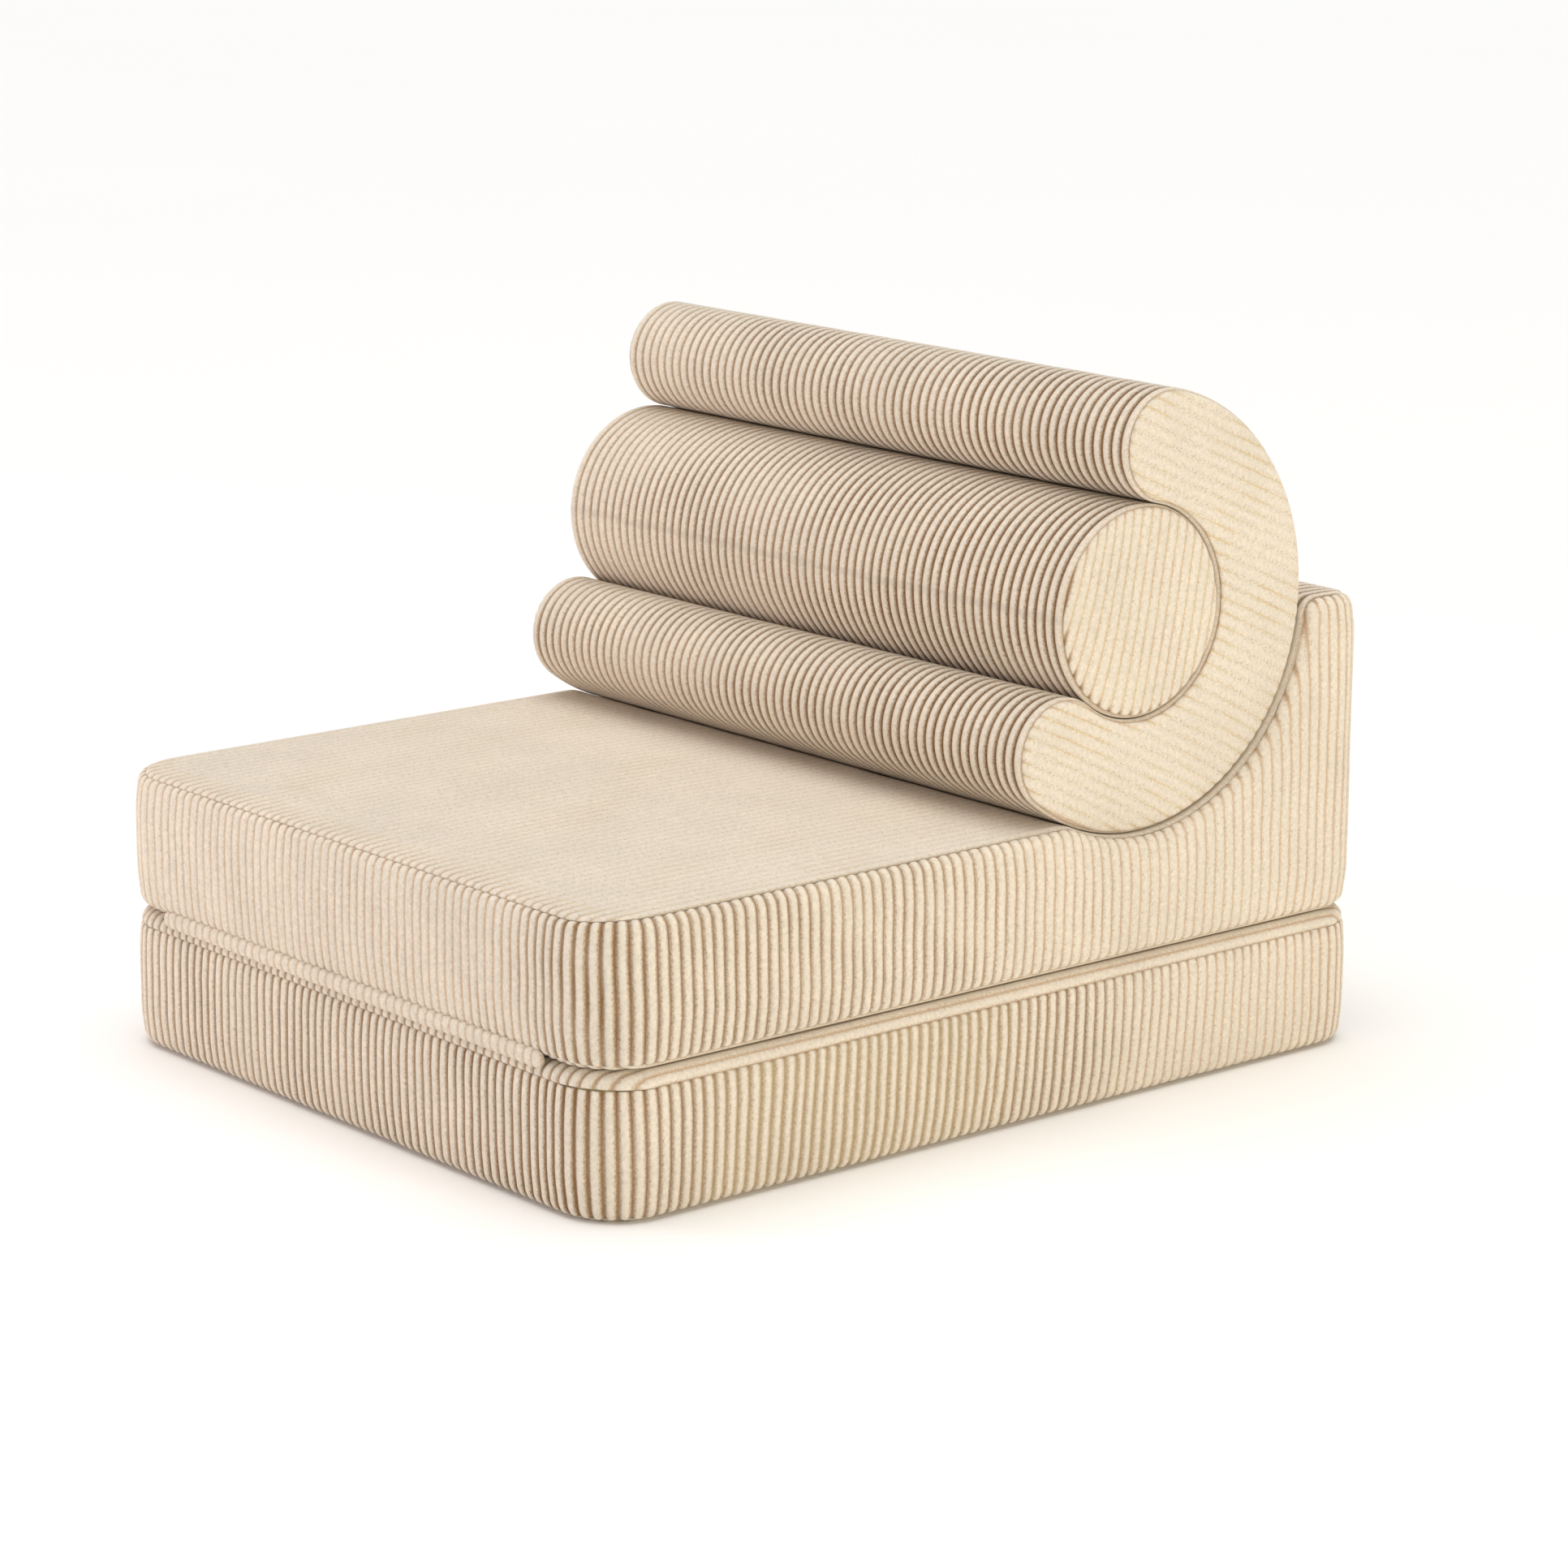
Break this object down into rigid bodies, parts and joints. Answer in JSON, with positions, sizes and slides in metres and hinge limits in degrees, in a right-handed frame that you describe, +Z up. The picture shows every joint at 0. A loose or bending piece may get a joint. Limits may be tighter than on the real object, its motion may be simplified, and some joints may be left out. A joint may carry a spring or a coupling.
{
  "type": "fold-out foam chair",
  "caption": "Low corduroy foam chair for a small child: a folding mattress seat with a wedge, an arched back roll in its cradle and a round bolster inside the arch.",
  "frame": {"origin": "middle of the rectangle that the chair covers, on the floor", "axes": "+X to the right as seen from the front, +Y from the front to the back, +Z up"},
  "size_m": [0.6, 0.727, 0.512],
  "materials": {
    "corduroy": "wide-wale corduroy, cream, cut pile",
    "foam": "cut polyurethane foam",
    "zip_tape": "woven polyester tape",
    "zip_metal": "brushed"
  },
  "bodies": {
    "seat": {"seat_core": "foam", "wedge_core": "foam", "seat_cover_top": "corduroy", "seat_cover_band": "corduroy", "seat_cover_base": "corduroy", "seat_zip_tapes": "zip_tape", "seat_zip_teeth": "zip_metal", "hinge_strip": "corduroy"},
    "foot": {"foot_core": "foam", "foot_cover_top": "corduroy", "foot_cover_band": "corduroy", "foot_cover_base": "corduroy", "foot_zip_tapes": "zip_tape", "foot_zip_teeth": "zip_metal"},
    "arch": {"arch_core": "foam", "arch_cover_wrap": "corduroy", "arch_cover_end_left": "corduroy", "arch_cover_end_right": "corduroy", "arch_zip_tapes": "zip_tape", "arch_zip_teeth": "zip_metal"},
    "bolster": {"bolster_core": "foam", "bolster_cover_wrap": "corduroy", "bolster_cover_end_left": "corduroy", "bolster_cover_end_right": "corduroy", "bolster_zip_tapes": "zip_tape", "bolster_zip_teeth": "zip_metal"},
    "foot_slider": {"foot_zip_slider": "zip_metal"},
    "foot_pull": {"foot_zip_pull": "zip_metal"},
    "seat_slider": {"seat_zip_slider": "zip_metal"},
    "seat_pull": {"seat_zip_pull": "zip_metal"},
    "arch_slider": {"arch_zip_slider": "zip_metal"},
    "arch_pull": {"arch_zip_pull": "zip_metal"},
    "bolster_slider": {"bolster_zip_slider": "zip_metal"},
    "bolster_pull": {"bolster_zip_pull": "zip_metal"}
  },
  "joints": [
    {"name": "fold_out", "type": "hinge", "parent": "seat", "child": "foot", "pos_m": [0, -0.364, 0.105], "axis": [-1, 0, 0], "range_deg": [0, 180], "deforming": ["hinge_strip"]},
    {"name": "arch_lift", "type": "slide", "parent": "seat", "child": "arch", "axis": [0, 0, 1], "range_m": [0, 0.25]},
    {"name": "bolster_out", "type": "slide", "parent": "arch", "child": "bolster", "axis": [1, 0, 0], "range_m": [0, 0.5]},
    {"name": "foot_zip", "type": "slide", "parent": "foot", "child": "foot_slider", "axis": [1, 0, 0], "range_m": [0, 0.467]},
    {"name": "foot_pull_tab", "type": "hinge", "parent": "foot_slider", "child": "foot_pull", "pos_m": [-0.2335, 0.3634, 0.0525], "axis": [0, 0, 1], "range_deg": [0, 170]},
    {"name": "seat_zip", "type": "slide", "parent": "seat", "child": "seat_slider", "axis": [1, 0, 0], "range_m": [0, 0.467]},
    {"name": "seat_pull_tab", "type": "hinge", "parent": "seat_slider", "child": "seat_pull", "pos_m": [-0.2335, 0.3634, 0.15765], "axis": [0, 0, 1], "range_deg": [0, 170]},
    {"name": "arch_zip", "type": "slide", "parent": "arch", "child": "arch_slider", "axis": [1, 0, 0], "range_m": [0, 0.441]},
    {"name": "arch_pull_tab", "type": "hinge", "parent": "arch_slider", "child": "arch_pull", "pos_m": [-0.2205, 0.29031, 0.39335], "axis": [0, -0.2419, 0.9703], "range_deg": [0, 170]},
    {"name": "bolster_zip", "type": "slide", "parent": "bolster", "child": "bolster_slider", "axis": [0, 0, -1], "range_m": [0, 0.097]},
    {"name": "bolster_pull_tab", "type": "hinge", "parent": "bolster_slider", "child": "bolster_pull", "pos_m": [-0.2872, 0.1337, 0.4006], "axis": [0, 1, 0], "range_deg": [0, 170]}
  ]
}
